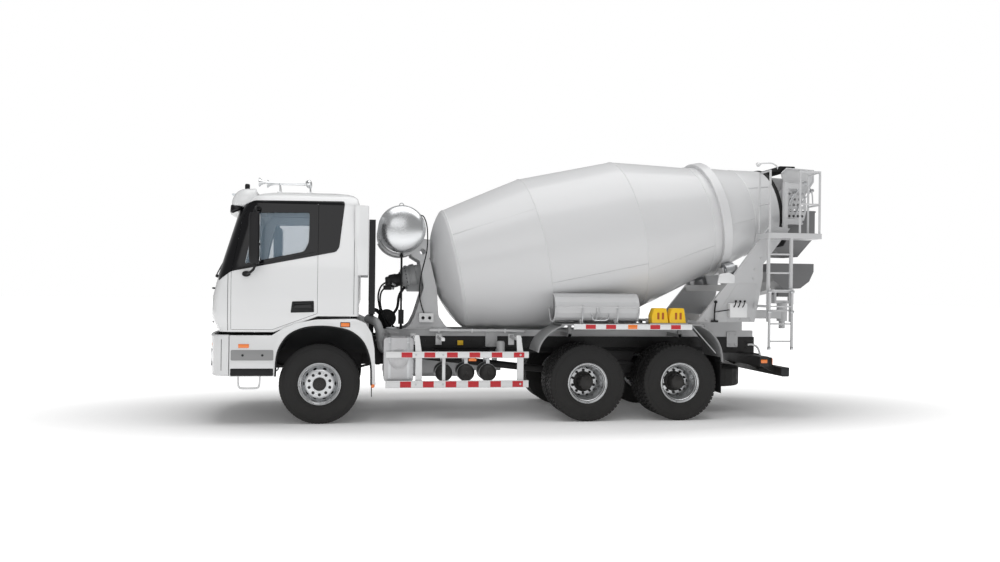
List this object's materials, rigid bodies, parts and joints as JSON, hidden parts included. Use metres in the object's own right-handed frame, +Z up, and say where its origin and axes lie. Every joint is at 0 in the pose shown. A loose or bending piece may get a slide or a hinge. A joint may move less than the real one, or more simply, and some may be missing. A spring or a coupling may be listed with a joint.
{
  "type": "concrete mixer truck",
  "caption": "Concrete mixer truck with tilting cab, turning tilted drum on rollers, charging hopper, swinging discharge chute, steered front wheels and twin rear wheels.",
  "frame": {"origin": "on the ground under the middle of the bounding box", "axes": "+X points to the rear along the truck, -Y is the left side (the side with the ladder), +Z is up"},
  "size_m": [9.37, 3.05, 3.9705],
  "materials": {
    "white_paint": "gloss white paint",
    "drum_paint": "satin light grey paint",
    "grey_paint": "satin grey paint",
    "black_paint": "satin black paint",
    "black_plastic": "matt black plastic",
    "dark_metal": "dark cast metal",
    "tyre": "black rubber",
    "bare_metal": "bright metal",
    "glass": "tinted glass",
    "seat_cloth": "dark cloth"
  },
  "bodies": {
    "chassis": {"frame": "black_paint", "subframe": "black_paint", "front_pedestal": "grey_paint", "rear_pedestal": "grey_paint", "front_axle": "black_paint", "rear_axle_front": "black_paint", "rear_axle_rear": "black_paint", "bogie_suspension": "black_paint", "engine_block": "dark_metal", "fuel_tank": "bare_metal", "exhaust_box": "bare_metal", "air_tanks": "black_paint", "side_guard_left": "white_paint", "side_guard_right": "white_paint", "front_bumper": "white_paint", "front_fender_left": "white_paint", "front_fender_right": "white_paint", "rear_fender_left": "grey_paint", "rear_fender_right": "grey_paint", "rear_underrun": "black_paint", "spare_wheel": "tyre", "drum_gearbox": "dark_metal", "water_tank": "white_paint", "hopper": "white_paint", "discharge_funnel": "grey_paint", "ladder_platform": "bare_metal", "extension_chute": "grey_paint", "air_intake": "black_plastic"},
    "cab": {"cab_shell": "white_paint", "cab_roof": "white_paint", "windscreen": "glass", "driver_seat": "seat_cloth", "passenger_seat": "seat_cloth", "dashboard": "black_plastic"},
    "steering_wheel_body": {"steering_wheel": "black_plastic"},
    "door_left_body": {"door_left": "white_paint", "door_glass_left": "glass", "mirror_left": "black_plastic"},
    "door_right_body": {"door_right": "white_paint", "door_glass_right": "glass", "mirror_right": "black_plastic"},
    "drum_body": {"drum": "drum_paint"},
    "roller_left_body": {"drum_roller_left": "bare_metal"},
    "roller_right_body": {"drum_roller_right": "bare_metal"},
    "chute_bracket_body": {"chute_bracket": "black_paint"},
    "chute_body": {"main_chute": "grey_paint"},
    "ladder_body": {"ladder_lower": "bare_metal"},
    "knuckle_left_body": {"knuckle_left": "dark_metal"},
    "knuckle_right_body": {"knuckle_right": "dark_metal"},
    "tie_rod_body": {"tie_rod": "dark_metal"},
    "wheel_front_left": {"front_tyre_left": "tyre", "front_rim_left": "bare_metal"},
    "wheel_front_right": {"front_tyre_right": "tyre", "front_rim_right": "bare_metal"},
    "wheels_middle_left": {"twin_wheel_front_left": "tyre"},
    "wheels_middle_right": {"twin_wheel_front_right": "tyre"},
    "wheels_rear_left": {"twin_wheel_rear_left": "tyre"},
    "wheels_rear_right": {"twin_wheel_rear_right": "tyre"}
  },
  "joints": [
    {"name": "drum_spin", "type": "hinge", "parent": "chassis", "child": "drum_body", "pos_m": [-1.206, 0, 2.186], "axis": [0.9783, 0, 0.2074], "continuous": true},
    {"name": "roller_left_spin", "type": "hinge", "parent": "chassis", "child": "roller_left_body", "pos_m": [3.0812, -0.60271, 2.21496], "axis": [0.9783, 0, 0.2074], "continuous": true},
    {"name": "roller_right_spin", "type": "hinge", "parent": "chassis", "child": "roller_right_body", "pos_m": [3.0812, 0.60271, 2.21496], "axis": [0.9783, 0, 0.2074], "continuous": true},
    {"name": "cab_tilt", "type": "hinge", "parent": "chassis", "child": "cab", "pos_m": [-4.555, 0, 1.2], "axis": [0, -1, 0], "range_deg": [0, 50]},
    {"name": "door_left_swing", "type": "hinge", "parent": "cab", "child": "door_left_body", "pos_m": [-4.305, -1.245, 2], "axis": [0, 0, -1], "range_deg": [0, 70]},
    {"name": "door_right_swing", "type": "hinge", "parent": "cab", "child": "door_right_body", "pos_m": [-4.305, 1.245, 2], "axis": [0, 0, 1], "range_deg": [0, 70]},
    {"name": "steering_wheel_turn", "type": "hinge", "parent": "cab", "child": "steering_wheel_body", "pos_m": [-4.035, -0.62, 2.107], "axis": [0.7835, 0, 0.6214], "range_deg": [-690, 690]},
    {"name": "steer_left", "type": "hinge", "parent": "chassis", "child": "knuckle_left_body", "pos_m": [-3.115, -0.8, 0.552], "axis": [0, 0, 1], "range_deg": [-38, 38]},
    {"name": "steer_right", "type": "hinge", "parent": "chassis", "child": "knuckle_right_body", "pos_m": [-3.115, 0.8, 0.552], "axis": [0, 0, 1], "range_deg": [-38, 38]},
    {"name": "tie_rod_swing", "type": "hinge", "parent": "knuckle_left_body", "child": "tie_rod_body", "pos_m": [-2.875, -0.8, 0.482], "axis": [0, 0, 1], "range_deg": [-38, 38]},
    {"name": "wheel_front_left_spin", "type": "hinge", "parent": "knuckle_left_body", "child": "wheel_front_left", "pos_m": [-3.115, -1.02, 0.552], "axis": [0, 1, 0], "continuous": true},
    {"name": "wheel_front_right_spin", "type": "hinge", "parent": "knuckle_right_body", "child": "wheel_front_right", "pos_m": [-3.115, 1.02, 0.552], "axis": [0, 1, 0], "continuous": true},
    {"name": "wheels_middle_left_spin", "type": "hinge", "parent": "chassis", "child": "wheels_middle_left", "pos_m": [0.675, -1.09, 0.552], "axis": [0, 1, 0], "continuous": true},
    {"name": "wheels_middle_right_spin", "type": "hinge", "parent": "chassis", "child": "wheels_middle_right", "pos_m": [0.675, 1.09, 0.552], "axis": [0, 1, 0], "continuous": true},
    {"name": "wheels_rear_left_spin", "type": "hinge", "parent": "chassis", "child": "wheels_rear_left", "pos_m": [2.065, -1.09, 0.552], "axis": [0, 1, 0], "continuous": true},
    {"name": "wheels_rear_right_spin", "type": "hinge", "parent": "chassis", "child": "wheels_rear_right", "pos_m": [2.065, 1.09, 0.552], "axis": [0, 1, 0], "continuous": true},
    {"name": "chute_swing", "type": "hinge", "parent": "chassis", "child": "chute_bracket_body", "pos_m": [4.305, 0, 1.66], "axis": [0, 0, 1], "range_deg": [-180, 0]},
    {"name": "chute_tilt", "type": "hinge", "parent": "chute_bracket_body", "child": "chute_body", "pos_m": [4.305, 0, 1.87], "axis": [1, 0, 0], "range_deg": [-20, 15]},
    {"name": "ladder_slide", "type": "slide", "parent": "chassis", "child": "ladder_body", "axis": [0, 0, -1], "range_m": [0, 0.4]}
  ],
  "couplings": [
    {"joint": "roller_left_spin", "follows": "drum_spin", "ratio": -7.0769},
    {"joint": "roller_right_spin", "follows": "drum_spin", "ratio": -7.0769},
    {"joint": "steer_right", "follows": "steer_left", "ratio": 1},
    {"joint": "tie_rod_swing", "follows": "steer_left", "ratio": -1},
    {"joint": "steering_wheel_turn", "follows": "steer_left", "ratio": 18}
  ]
}
